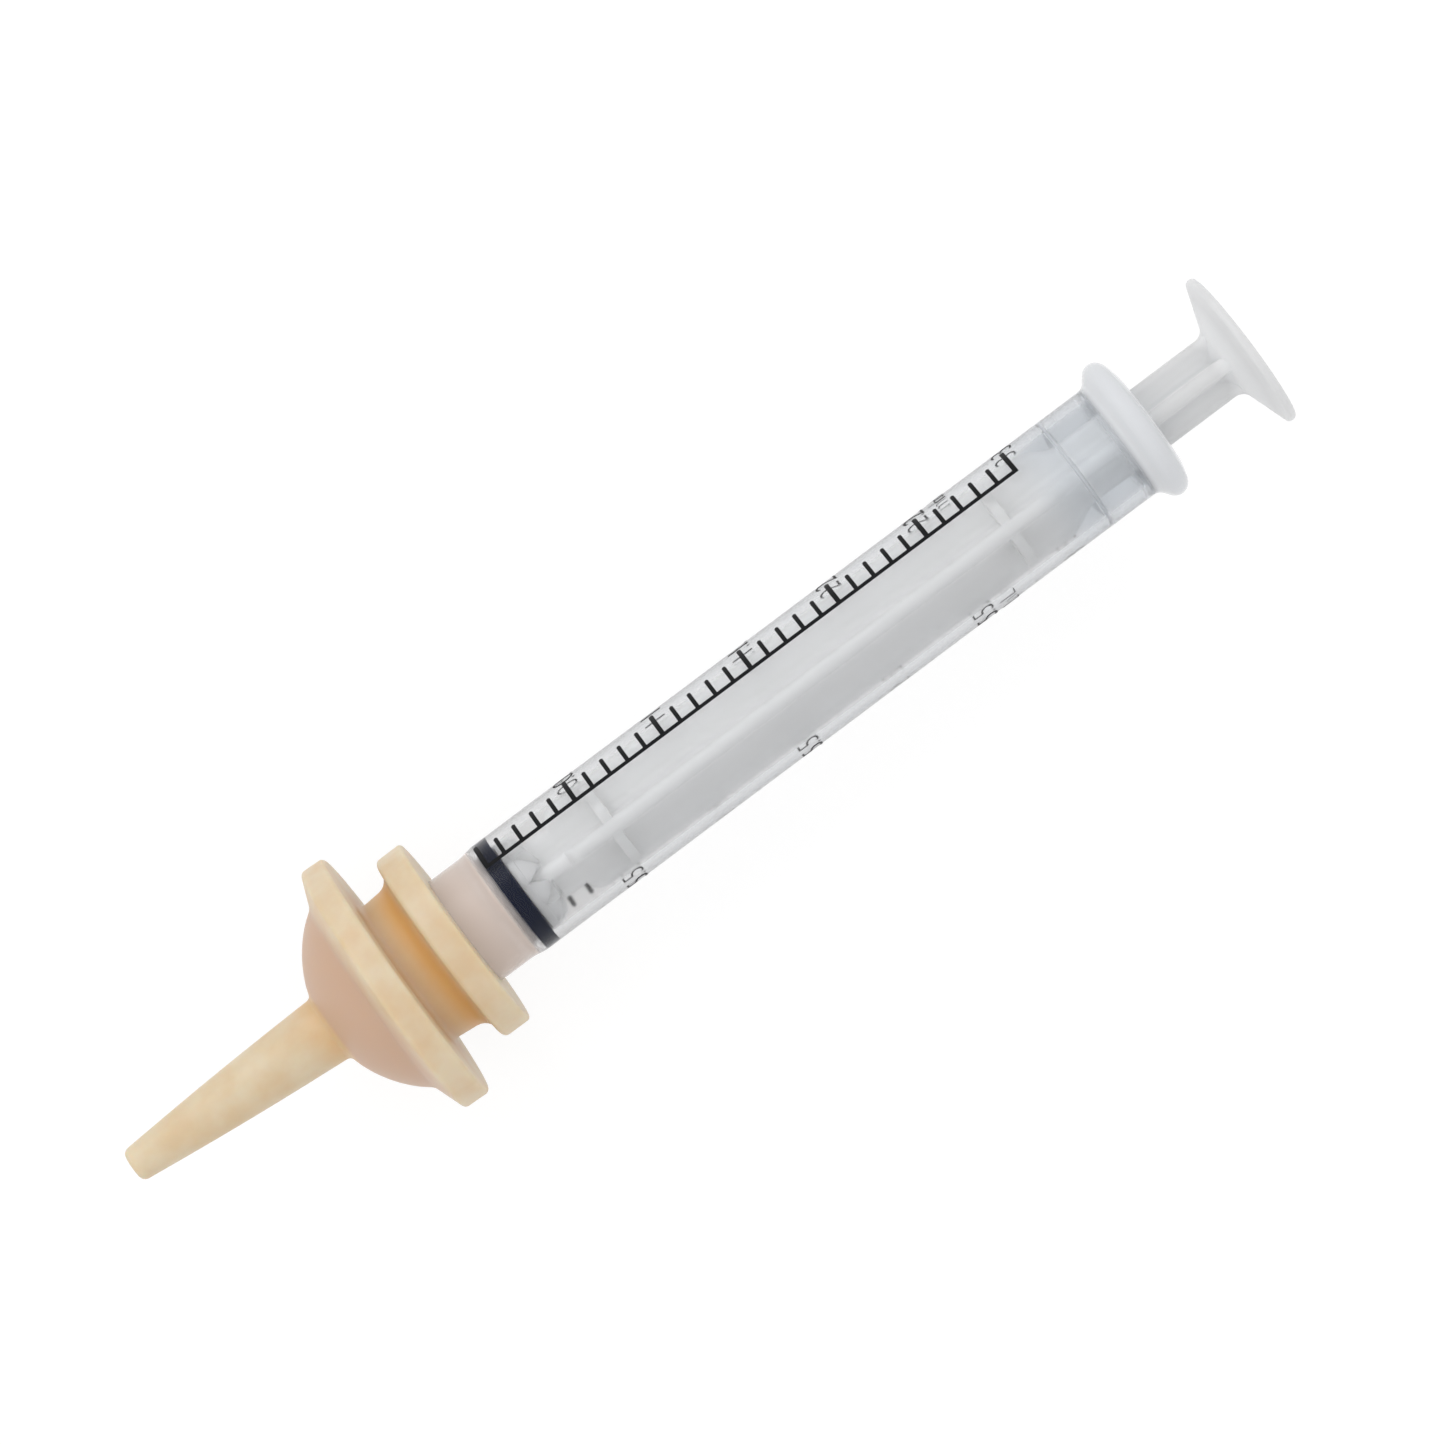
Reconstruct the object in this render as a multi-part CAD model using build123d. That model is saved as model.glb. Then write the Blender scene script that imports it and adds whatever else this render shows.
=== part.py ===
# Oral syringe with a soft feeding nipple, in millimetres.
# The axis is X and +X points from the nipple to the thumb disc. Every station is first
# measured from the scale's zero line, where the seal sits with the plunger pushed home.
# The finished pieces are then moved so that the origin is the middle of the length.
import math
import os

from build123d import *

# ---- Driving dimensions ----

# Barrel
SCALE_LENGTH = 52.87  # zero line to full line, which holds 3 mL in this bore
BORE_DIAMETER = 8.5
BARREL_WALL = 0.9
END_WALL = 1.0  # between the bore and the open nose
END_CONE = 0.5  # how far the bore's end dips towards the nozzle
STEP_OFFSET = 1.0  # from the bore's end back to where the outside has its full size
STEP_LENGTH = 1.7  # smooth step from the collar up to the barrel
RIDGE_OFFSET = 3.9  # retaining ridge's middle, behind the full line
RIDGE_HEIGHT = 0.13
RIDGE_LENGTH = 1.2
MOUTH_OFFSET = 7.1  # barrel's mouth, behind the ridge
FLANGE_HEIGHT = 1.3  # finger bead, above the barrel's outside
FLANGE_ROUND = 1.05
FLANGE_FLANK = 53.0  # slope of the bead's front flank, in degrees
MOUTH_LEAD = 0.45
MOUTH_RISE = 0.2  # mouth's inner edge stands this far behind the bead

# Nose of the barrel
COLLAR_DIAMETER = 9.9
COLLAR_WALL = 0.9
COLLAR_LENGTH = 9.9  # in front of the bore's end
COLLAR_CHAMFER = 0.3
NOZZLE_DIAMETER = 4.2
NOZZLE_TAPER = 0.25  # off the diameter at the tip
NOZZLE_BORE = 1.8
NOZZLE_REACH = 0.5  # past the collar's edge

# Ring seal
RING_CORD = 1.6  # standard metric cord
RING_SQUEEZE = 0.10  # share of the cord lost across the groove
RING_WIDTH = 1.65  # along the bore, once squeezed
RING_OFFSET = 0.25  # ring's middle, behind the zero line

# Plunger
FRONT_LAND = 0.4
REAR_LAND = 0.75
CROWN_LENGTH = 1.35
CROWN_TEETH = 12
CROWN_NOTCH = 1.6  # width of a notch at the teeth's tips
CROWN_ROOT = 0.15  # land left between a notch's point and the rear land
CROWN_TURN = 6.0  # degrees from a rib's middle plane back to a notch
ROD_DIAMETER = 5.6  # across the ribs at the neck and outside the barrel
NECK_LENGTH = 2.25  # between the crown and the ribs' front shoulder
RIB_THICKNESS = 1.3
RIB_FILLET = 0.95
RIB_RISE = 1.7  # length of the ribs' rounded front shoulder
RIB_FALL = 3.4  # length of the ribs' S-shaped run-out into the rod
WEB_THICKNESS = 0.9
FRONT_WEB_INSET = 2.7  # web's middle, behind the ribs' front shoulder
REAR_WEB_INSET = 3.6  # web's middle, in front of the ribs' run-out
WEB_STEP = 0.3  # webs stay this much below the ribs
CHANNEL_END = 1.6  # length of the hollow curve that ends the channels at the thumb disc
CHANNEL_SINK = 0.05  # the curve starts this far inside the channels' floor
THUMB_GAP = 10.0  # from the barrel's mouth to the thumb face
THUMB_DIAMETER = 14.1
THUMB_RIM = 0.7
THUMB_CONE = 1.5
PLUNGER_TURN = 6.2  # degrees that the stem's ribs stand turned about the axis

# Feeding nipple
NIPPLE_SEAT = 3.6  # nipple's back, in front of the bore's end
BACK_DISC_DIAMETER = 17.6
BACK_DISC_THICKNESS = 2.6
NECK_DIAMETER = 13.1
NECK_FLARE = 0.45  # wider at the back disc
NECK_WIDTH = 3.3
FRONT_DISC_DIAMETER = 23.15
FRONT_DISC_THICKNESS = 2.25
SHOULDER_DROP = 1.05  # length of the slanted shoulder between front disc and dome
DOME_RADIUS = 10.8
DOME_LENGTH = 5.25  # front disc's face to the teat's root
TEAT_LENGTH = 19.5
TEAT_ROOT_DIAMETER = 5.75
TEAT_TIP_DIAMETER = 2.9
DISC_ROUND = 0.45
NECK_FILLET = 0.6
SHOULDER_FILLET = 1.5
TEAT_FILLET = 0.5
TEAT_ROUND = 0.6
NIPPLE_WALL = 1.6
CAVITY_DIAMETER = 14.0
CAVITY_STEP = 0.35  # cavity's back wall, in front of the collar's edge
CHANNEL_DIAMETER = 3.5
CHANNEL_TIP_DIAMETER = 1.1
FEED_HOLE = 0.8
FEED_HOLE_LENGTH = 1.5

# Clearances, each on one side
LAND_GAP = 0.06
RING_GAP = 0.015
RIB_GAP = 0.04
HOME_GAP = 0.05
STOP_GAP = 0.02
NIPPLE_GAP = 0.03

# ---- Sizes and stations that follow ----

bore_r = BORE_DIAMETER / 2
barrel_r = bore_r + BARREL_WALL
flange_r = barrel_r + FLANGE_HEIGHT
ridge_r = bore_r - RIDGE_HEIGHT
collar_r = COLLAR_DIAMETER / 2
nozzle_r = NOZZLE_DIAMETER / 2
nozzle_bore_r = NOZZLE_BORE / 2
land_r = bore_r - LAND_GAP
rib_r = ridge_r - RIB_GAP
rod_r = ROD_DIAMETER / 2
channel_r = math.sqrt(2) * (RIB_THICKNESS / 2 + RIB_FILLET) - RIB_FILLET  # floor between ribs
thumb_r = THUMB_DIAMETER / 2

ring_height = RING_CORD * (1 - RING_SQUEEZE)
ring_outer_r = bore_r - RING_GAP
groove_r = ring_outer_r - ring_height - RING_GAP
groove_width = RING_WIDTH + 10 * RING_GAP

groove_front_x = RING_OFFSET - groove_width / 2
groove_rear_x = RING_OFFSET + groove_width / 2
piston_front_x = groove_front_x - FRONT_LAND
crown_x = groove_rear_x + REAR_LAND
crown_tip_x = crown_x + CROWN_LENGTH
rib_front_x = crown_tip_x + NECK_LENGTH
rib_full_x = rib_front_x + RIB_RISE
nose_tip_x = piston_front_x - END_CONE

bore_end_x = piston_front_x - HOME_GAP
nose_floor_x = bore_end_x - END_WALL
step_rear_x = bore_end_x + STEP_OFFSET
step_front_x = step_rear_x - STEP_LENGTH
collar_front_x = bore_end_x - COLLAR_LENGTH
nozzle_tip_x = collar_front_x - NOZZLE_REACH
ridge_x = SCALE_LENGTH + RIDGE_OFFSET
mouth_x = ridge_x + MOUTH_OFFSET
rib_back_x = ridge_x
rib_fall_x = rib_back_x - RIB_FALL
thumb_x = mouth_x + THUMB_GAP
rim_x = thumb_x - THUMB_RIM
cone_x = rim_x - THUMB_CONE

nipple_back_x = bore_end_x - NIPPLE_SEAT
neck_back_x = nipple_back_x - BACK_DISC_THICKNESS
neck_front_x = neck_back_x - NECK_WIDTH
front_disc_x = neck_front_x - FRONT_DISC_THICKNESS
shoulder_x = front_disc_x - SHOULDER_DROP
front_disc_r = FRONT_DISC_DIAMETER / 2
back_disc_r = BACK_DISC_DIAMETER / 2
neck_r = NECK_DIAMETER / 2
teat_root_r = TEAT_ROOT_DIAMETER / 2
teat_tip_r = TEAT_TIP_DIAMETER / 2
teat_root_x = front_disc_x - DOME_LENGTH
teat_tip_x = teat_root_x - TEAT_LENGTH
dome_x = teat_root_x + math.sqrt(DOME_RADIUS**2 - teat_root_r**2)

middle_x = (teat_tip_x + thumb_x) / 2

# The plunger's travel ends where the rear land's edge meets the flank of the ridge.
ridge_round = ((RIDGE_LENGTH / 2) ** 2 + RIDGE_HEIGHT**2) / (2 * RIDGE_HEIGHT)
ridge_flank = math.sqrt(ridge_round**2 - (ridge_round - (land_r - ridge_r)) ** 2)
travel = ridge_x - ridge_flank - STOP_GAP - crown_x


def turned(outline, *eases):
    """Turn an outline in the plane of X and radius about the axis, with its corners eased.

    Each ease is the corner's x, its radius from the axis and the fillet."""
    section = make_face(outline)
    for x, r, size in eases:
        corner = section.vertices().sort_by_distance((x, r))[0]
        section = fillet(corner, size)
    return revolve(section, Axis.X)


def dome_point(r, radius):
    """The point of a dome of this radius, on the shared centre, that is r from the axis."""
    return (dome_x - math.sqrt(radius**2 - r**2), r)


def dome_arc(start, end, radius):
    middle_r = (start[1] + end[1]) / 2
    return ThreePointArc(start, dome_point(middle_r, radius), end)


# ---- Barrel ----


def barrel():
    skirt_r = collar_r - COLLAR_WALL
    flank = math.radians(FLANGE_FLANK)
    bead_x = mouth_x - FLANGE_ROUND
    bead_r = flange_r - FLANGE_ROUND
    flank_top = (bead_x - FLANGE_ROUND * math.sin(flank), bead_r + FLANGE_ROUND * math.cos(flank))
    flank_foot = (flank_top[0] - (flank_top[1] - barrel_r) / math.tan(flank), barrel_r)
    step_middle_x = (step_front_x + step_rear_x) / 2

    outline = Polyline(
        (collar_front_x, skirt_r),
        (collar_front_x, collar_r - COLLAR_CHAMFER),
        (collar_front_x + COLLAR_CHAMFER, collar_r),
        (step_front_x, collar_r),
    )
    outline += Bezier(
        (step_front_x, collar_r),
        (step_middle_x, collar_r),
        (step_middle_x, barrel_r),
        (step_rear_x, barrel_r),
    )
    outline += Polyline((step_rear_x, barrel_r), flank_foot, flank_top)
    outline += CenterArc((bead_x, bead_r), FLANGE_ROUND, 90 + FLANGE_FLANK, -90 - FLANGE_FLANK)
    outline += Polyline(
        (mouth_x, bead_r),
        (mouth_x + MOUTH_RISE, bore_r + MOUTH_LEAD),
        (mouth_x - MOUTH_LEAD, bore_r),
        (bore_end_x, bore_r),
        (bore_end_x - END_CONE, nozzle_bore_r),
        (nozzle_tip_x, nozzle_bore_r),
        (nozzle_tip_x, nozzle_r - NOZZLE_TAPER / 2),
        (nose_floor_x, nozzle_r),
        (nose_floor_x, skirt_r),
        (collar_front_x, skirt_r),
    )
    tube = turned(outline, (*flank_foot, FLANGE_ROUND))

    ridge_front = (ridge_x - RIDGE_LENGTH / 2, bore_r)
    ridge_rear = (ridge_x + RIDGE_LENGTH / 2, bore_r)
    inside_wall_r = bore_r + BARREL_WALL / 2
    ridge = SagittaArc(ridge_front, ridge_rear, -RIDGE_HEIGHT)
    ridge += Polyline(
        ridge_rear, (ridge_rear[0], inside_wall_r), (ridge_front[0], inside_wall_r), ridge_front
    )
    return tube + turned(ridge)


# ---- Ring seal ----


def o_ring():
    cord = Circle(RING_WIDTH / 2) & Rectangle(RING_WIDTH, ring_height)
    return revolve(Pos(RING_OFFSET, ring_outer_r - ring_height / 2) * cord, Axis.X)


# ---- Plunger ----


def piston_head():
    """The nose, the two lands with the ring's groove between them and a core in the crown."""
    core_x = crown_x + CROWN_LENGTH / 2
    return turned(
        Polyline(
            (nose_tip_x, 0),
            (nose_tip_x, nozzle_bore_r),
            (piston_front_x, land_r),
            (groove_front_x, land_r),
            (groove_front_x, groove_r),
            (groove_rear_x, groove_r),
            (groove_rear_x, land_r),
            (crown_x, land_r),
            (crown_x, rod_r),
            (core_x, rod_r),
            (core_x, 0),
            (nose_tip_x, 0),
        )
    )


def tooth_crown():
    """Gusset teeth behind the rear land: a rounded ring parted by tapered notches."""
    crown_r = land_r - LAND_GAP
    outline = Polyline((crown_tip_x, rod_r), (crown_tip_x, 0), (crown_x, 0), (crown_x, crown_r))
    outline += EllipticalCenterArc(
        (crown_x, rod_r), CROWN_LENGTH, crown_r - rod_r, start_angle=0, arc_size=90
    )
    crown = turned(outline)

    point_x = crown_x + CROWN_ROOT
    spread = CROWN_NOTCH / 2 / (crown_tip_x - point_x)
    end_x = crown_tip_x + CROWN_LENGTH
    side = spread * (end_x - point_x)
    wedge = make_face(Polyline((point_x, 0), (end_x, side), (end_x, -side), (point_x, 0)))
    notch = extrude(wedge, 2 * land_r)
    for i in range(CROWN_TEETH):
        crown -= Rot(i * 360 / CROWN_TEETH - CROWN_TURN, 0, 0) * notch
    return crown


def stem():
    """Crossed ribs from the piston head to the thumb disc.

    Inside the barrel they swell between a rounded shoulder and an S-shaped run-out, and two
    round webs brace them."""
    outline = Polyline((crown_x, 0), (crown_x, rod_r), (rib_front_x, rod_r))
    outline += EllipticalCenterArc(
        (rib_full_x, rod_r), RIB_RISE, rib_r - rod_r, start_angle=90, arc_size=90
    )
    outline += Polyline((rib_full_x, rib_r), (rib_fall_x, rib_r))
    fall_middle_x = (rib_fall_x + rib_back_x) / 2
    outline += Bezier(
        (rib_fall_x, rib_r), (fall_middle_x, rib_r), (fall_middle_x, rod_r), (rib_back_x, rod_r)
    )
    outline += Polyline(
        (rib_back_x, rod_r), (cone_x, rod_r), (rim_x, thumb_r), (rim_x, 0), (crown_x, 0)
    )
    envelope = turned(outline, (cone_x, rod_r, THUMB_CONE / 2))

    across = 3 * rib_r
    cross = Rectangle(across, RIB_THICKNESS) + Rectangle(RIB_THICKNESS, across)
    inner_corners = cross.vertices().filter_by(lambda v: v.center().length < RIB_THICKNESS)
    cross = fillet(inner_corners, RIB_FILLET)
    ribs = extrude(Plane.YZ.offset(crown_x) * cross, rim_x - crown_x) & envelope

    for x in (rib_full_x + FRONT_WEB_INSET, rib_fall_x - REAR_WEB_INSET):
        ribs += Pos(x, 0, 0) * Rot(0, 90, 0) * Cylinder(rib_r - WEB_STEP, WEB_THICKNESS)
    return ribs


def thumb_disc():
    """The disc and its cone, hollowed in front where the channels between the ribs run out."""
    hollow_x = cone_x - CHANNEL_END
    hollow_r = channel_r - CHANNEL_SINK
    outline = Polyline((hollow_x, 0), (hollow_x, hollow_r))
    outline += EllipticalCenterArc(
        (hollow_x, rod_r), CHANNEL_END, rod_r - hollow_r, start_angle=270, arc_size=90
    )
    outline += Polyline(
        (cone_x, rod_r), (rim_x, thumb_r), (thumb_x, thumb_r), (thumb_x, 0), (hollow_x, 0)
    )
    return turned(
        outline, (rim_x, thumb_r, THUMB_RIM * 0.4), (thumb_x, thumb_r, THUMB_RIM * 0.5)
    )


def plunger():
    whole = piston_head() + tooth_crown() + stem() + thumb_disc()
    return Rot(PLUNGER_TURN, 0, 0) * whole


# ---- Feeding nipple ----


def feeding_nipple():
    shoulder = (shoulder_x, math.sqrt(DOME_RADIUS**2 - (shoulder_x - dome_x) ** 2))
    teat_root = (teat_root_x, teat_root_r)
    outline = Polyline(
        (nipple_back_x, 0),
        (nipple_back_x, back_disc_r),
        (neck_back_x, back_disc_r),
        (neck_back_x, neck_r + NECK_FLARE / 2),
        (neck_front_x, neck_r),
        (neck_front_x, front_disc_r),
        (front_disc_x, front_disc_r),
        shoulder,
    )
    outline += dome_arc(shoulder, teat_root, DOME_RADIUS)
    outline += Polyline(teat_root, (teat_tip_x, teat_tip_r), (teat_tip_x, 0), (nipple_back_x, 0))
    body = turned(
        outline,
        (neck_back_x, back_disc_r, DISC_ROUND),
        (neck_back_x, neck_r + NECK_FLARE / 2, NECK_FILLET),
        (neck_front_x, front_disc_r, DISC_ROUND),
        (front_disc_x, front_disc_r, DISC_ROUND),
        (*shoulder, SHOULDER_FILLET),
        (*teat_root, TEAT_FILLET),
        (teat_tip_x, teat_tip_r, TEAT_ROUND),
    )

    socket_r = collar_r + NIPPLE_GAP
    cavity_r = CAVITY_DIAMETER / 2
    cavity_back_x = collar_front_x - CAVITY_STEP
    inner_radius = DOME_RADIUS - NIPPLE_WALL
    inner_edge = dome_point(cavity_r, inner_radius)
    channel_root = dome_point(CHANNEL_DIAMETER / 2, inner_radius)
    channel_tip_x = teat_tip_x + FEED_HOLE_LENGTH
    hollow = Polyline(
        (nipple_back_x, 0),
        (nipple_back_x, socket_r),
        (cavity_back_x, socket_r),
        (cavity_back_x, cavity_r),
        inner_edge,
    )
    hollow += dome_arc(inner_edge, channel_root, inner_radius)
    hollow += Polyline(
        channel_root,
        (channel_tip_x, CHANNEL_TIP_DIAMETER / 2),
        (channel_tip_x, FEED_HOLE / 2),
        (teat_tip_x, FEED_HOLE / 2),
        (teat_tip_x, 0),
        (nipple_back_x, 0),
    )
    return body - turned(hollow)


# ---- Write the pieces ----

os.makedirs("parts", exist_ok=True)
for make in (barrel, o_ring, plunger, feeding_nipple):
    piece = Pos(-middle_x, 0, 0) * make()
    export_step(piece, f"parts/{make.__name__}.step")
capacity = math.pi * bore_r**2 * SCALE_LENGTH / 1000
print(f"scale {capacity:.2f} mL, travel {travel:.2f} mm, thumb face at x {thumb_x - middle_x:.3f} mm")
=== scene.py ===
import math

import bmesh
import bpy
import numpy as np
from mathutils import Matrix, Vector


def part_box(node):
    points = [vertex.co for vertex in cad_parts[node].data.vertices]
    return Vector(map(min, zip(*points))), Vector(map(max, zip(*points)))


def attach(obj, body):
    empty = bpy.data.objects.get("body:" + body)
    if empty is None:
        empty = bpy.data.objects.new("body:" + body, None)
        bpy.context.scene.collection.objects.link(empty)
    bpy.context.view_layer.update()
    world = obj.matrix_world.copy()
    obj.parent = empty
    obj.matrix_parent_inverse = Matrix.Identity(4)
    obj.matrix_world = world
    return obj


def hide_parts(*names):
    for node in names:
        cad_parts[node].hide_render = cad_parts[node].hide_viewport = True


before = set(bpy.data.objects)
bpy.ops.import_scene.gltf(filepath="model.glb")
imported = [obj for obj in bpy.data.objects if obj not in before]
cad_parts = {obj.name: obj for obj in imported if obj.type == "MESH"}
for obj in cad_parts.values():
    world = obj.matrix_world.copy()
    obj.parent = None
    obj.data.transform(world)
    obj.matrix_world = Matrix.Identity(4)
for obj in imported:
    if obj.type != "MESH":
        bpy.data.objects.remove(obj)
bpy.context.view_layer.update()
mm = 0.001

# where things lie along the syringe, read from the frame, in mm
nippleBox = [[value / mm for value in corner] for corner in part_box("feeding_nipple")]
barrelBox = [[value / mm for value in corner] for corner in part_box("barrel")]
plungerBox = [[value / mm for value in corner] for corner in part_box("plunger")]
ringBox = [[value / mm for value in corner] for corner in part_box("o_ring")]
ringMiddleX = (ringBox[0][0] + ringBox[1][0]) / 2
zeroLineX = ringMiddleX - 0.25
tipX = nippleBox[0][0]
nippleBackX = nippleBox[1][0]
mouthX = barrelBox[1][0]
thumbX = plungerBox[1][0]
print("frame loaded, zero line at x", round(zeroLineX, 3), "mm")


# sRGB hex to linear: c / 12.92 below 0.04045, else ((c + 0.055) / 1.055) ^ 2.4
def colour(hexValue):
    parts = [int(hexValue[i:i + 2], 16) / 255 for i in (1, 3, 5)]
    return tuple(c / 12.92 if c <= 0.04045 else ((c + 0.055) / 1.055) ** 2.4 for c in parts) + (1.0,)


# adds one node: settings are its properties, sockets are values or links for its inputs
def addNode(tree, kind, settings=None, sockets=None):
    node = tree.nodes.new(kind)
    for name, value in (settings or {}).items():
        setattr(node, name, value)
    for name, value in (sockets or {}).items():
        if isinstance(value, bpy.types.NodeSocket):
            tree.links.new(value, node.inputs[name])
        else:
            node.inputs[name].default_value = value
    return node


def newMaterial(name):
    material = bpy.data.materials.new(name)
    material.use_nodes = True
    tree = material.node_tree
    tree.nodes.clear()
    output = addNode(tree, "ShaderNodeOutputMaterial")
    return material, tree, output


# a grid of points, rows by columns, becomes quads; columns always close round, rows close
# when loop is true, and a row at the axis (pole) becomes one point with a fan of triangles
def gridObject(name, points, material, loop=False, poles=False, sharp=35):
    rows, cols = points.shape[:2]
    index = np.arange(rows * cols).reshape(rows, cols)
    if poles:
        index = index[1:-1]
    below = index if loop else index[:-1]
    above = np.roll(index, -1, axis=0) if loop else index[1:]
    quads = np.stack([below, np.roll(below, -1, axis=1), np.roll(above, -1, axis=1), above], axis=-1)
    faces = quads.reshape(-1, 4).tolist()
    flat = points.reshape(-1, 3)
    if poles:
        first, last = index[0], index[-1]
        fans = [np.stack([np.full(cols, 0), np.roll(first, -1), first], axis=-1)]
        fans.append(np.stack([np.full(cols, rows * cols - 1), last, np.roll(last, -1)], axis=-1))
        faces += np.concatenate(fans).tolist()
    mesh = bpy.data.meshes.new(name)
    mesh.from_pydata(flat * mm, [], faces)
    piece = bpy.data.objects.new(name, mesh)
    bpy.context.scene.collection.objects.link(piece)
    shell = bmesh.new()
    shell.from_mesh(mesh)
    loose = [v for v in shell.verts if not v.link_faces]
    bmesh.ops.delete(shell, geom=loose, context="VERTS")
    bmesh.ops.recalc_face_normals(shell, faces=shell.faces)
    shell.to_mesh(mesh)
    shell.free()
    mesh.polygons.foreach_set("use_smooth", np.ones(len(mesh.polygons), dtype=bool))
    mesh.set_sharp_from_angle(angle=math.radians(sharp))
    mesh.materials.append(material)
    return piece


def meshPoints(mesh):
    place = np.empty(len(mesh.vertices) * 3)
    mesh.vertices.foreach_get("co", place)
    return place.reshape(-1, 3) / mm


# 0 below low, 1 above high, 3u^2 - 2u^3 between
def smoothStep(value, low, high):
    u = np.clip((value - low) / (high - low), 0, 1)
    return u**2 * (3 - 2 * u)


# up to three maps over a mesh, kept in the red, green and blue of one colour attribute
def setAttribute(mesh, name, red, green, blue=0):
    values = np.stack(np.broadcast_arrays(red, green, blue, 1.0), axis=-1)
    mesh.color_attributes.new(name, "FLOAT_COLOR", "POINT").data.foreach_set("color", values.ravel())


# turns a profile of (x, r) about the x axis: y = r sin a, z = r cos a
def turnProfile(profile, columns):
    angle = np.linspace(0, 2 * np.pi, columns, endpoint=False)
    x = np.repeat(profile[:, :1], columns, axis=1)
    y, z = (np.outer(profile[:, 1], turn) for turn in (np.sin(angle), np.cos(angle)))
    return np.stack([x, y, z], axis=-1)


# a line through corners (x, r, round): each corner is replaced by an arc tangent to both
# sides, whose cut on each side is round * tan(half the turn)
def easedLine(corners, arcSteps=6):
    points = []
    for i, (x, r, radius) in enumerate(corners):
        here = np.array([x, r])
        if radius == 0 or i in (0, len(corners) - 1):
            points.append(here[None])
            continue
        toLast = np.array(corners[i - 1][:2]) - here
        toNext = np.array(corners[i + 1][:2]) - here
        toLast, toNext = toLast / np.hypot(*toLast), toNext / np.hypot(*toNext)
        halfOpen = math.acos(np.clip(toLast @ toNext, -1, 1)) / 2
        cut = radius / math.tan(halfOpen)
        middle = (toLast + toNext) / np.hypot(*(toLast + toNext))
        centre = here + middle * radius / math.sin(halfOpen)
        start, end = here + toLast * cut - centre, here + toNext * cut - centre
        share = np.linspace(0, 1, arcSteps + 1)[:, None]
        sweep = math.acos(np.clip(start @ end / radius**2, -1, 1))
        arc = (np.sin((1 - share) * sweep) * start + np.sin(share * sweep) * end) / math.sin(sweep)
        points.append(centre + arc)
    return np.concatenate(points)


# fills long straight runs of a profile with points no further apart than step
def filledLine(points, step):
    gaps = np.hypot(*np.diff(points, axis=0).T)
    counts = np.maximum(np.ceil(gaps / step).astype(int), 1)
    pieces = [a + (b - a) * np.arange(n)[:, None] / n for a, b, n in zip(points[:-1], points[1:], counts)]
    return np.concatenate(pieces + [points[-1:]])


# natural polypropylene, injection moulded: water-clear in a thin wall, with a faint cool haze,
# milky where it is thick; "cast" holds in red the milkiness and a painted highlight on the ridge,
# in green a painted reflection of the latex's warm colour at the nose, and in blue painted shade over the
# rear end
def clearPolypropylene():
    material, tree, output = newMaterial("clear_moulded_polypropylene")
    coords = addNode(tree, "ShaderNodeTexCoord")
    cast = addNode(tree, "ShaderNodeAttribute", {"attribute_name": "cast"})
    zones = addNode(tree, "ShaderNodeSeparateColor", sockets={"Color": cast.outputs["Color"]})
    # flow marks of the melt run along the tube, about 4 mm long and 0.4 mm across
    stretch = addNode(tree, "ShaderNodeMapping", sockets={
        "Vector": coords.outputs["Object"], "Scale": (250, 2500, 2500),
    })
    flow = addNode(tree, "ShaderNodeTexNoise", sockets={
        "Vector": stretch.outputs[0], "Scale": 1.0, "Detail": 2.0,
    })
    rough = addNode(tree, "ShaderNodeMapRange", sockets={
        "Value": flow.outputs["Fac"], "To Min": 0.09, "To Max": 0.15,
    })
    clearness = addNode(tree, "ShaderNodeMapRange", sockets={
        "Value": zones.outputs["Red"], "To Min": 1.0, "To Max": 0.1,
    })
    # painted shade: greyer over the rear end
    paintedRearShade = addNode(tree, "ShaderNodeMix", {"data_type": "RGBA"}, {
        0: zones.outputs["Blue"], "A": colour("#FFFFFF"), "B": colour("#F3F5F7"),
    })
    # milky where thick, and a painted highlight along the ridge
    milkAndHighlight = addNode(tree, "ShaderNodeMix", {"data_type": "RGBA"}, {
        0: zones.outputs["Red"], "A": paintedRearShade.outputs["Result"], "B": colour("#E6E8EB"),
    })
    # painted reflection: the latex's warm colour over the nose
    tint = addNode(tree, "ShaderNodeMix", {"data_type": "RGBA"}, {
        0: zones.outputs["Green"], "A": milkAndHighlight.outputs["Result"], "B": colour("#F0E2DA"),
    })
    body = addNode(tree, "ShaderNodeBsdfPrincipled", sockets={
        "Base Color": tint.outputs["Result"], "Roughness": rough.outputs[0], "IOR": 1.49,
        "Transmission Weight": clearness.outputs[0], "Specular Tint": (0.2, 0.2, 0.2, 1),
    })
    # lamps reach what lies inside the tube
    paths = addNode(tree, "ShaderNodeLightPath")
    through = addNode(tree, "ShaderNodeBsdfTransparent", sockets={"Color": (1, 1, 1, 1)})
    mixed = addNode(tree, "ShaderNodeMixShader", sockets={
        0: paths.outputs["Is Shadow Ray"], 1: body.outputs[0], 2: through.outputs[0],
    })
    tree.links.new(mixed.outputs[0], output.inputs["Surface"])
    grey = addNode(tree, "ShaderNodeVolumeAbsorption", sockets={"Color": colour("#A0B4CC"), "Density": 50.0})
    tree.links.new(grey.outputs[0], output.inputs["Volume"])
    return material
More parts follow.
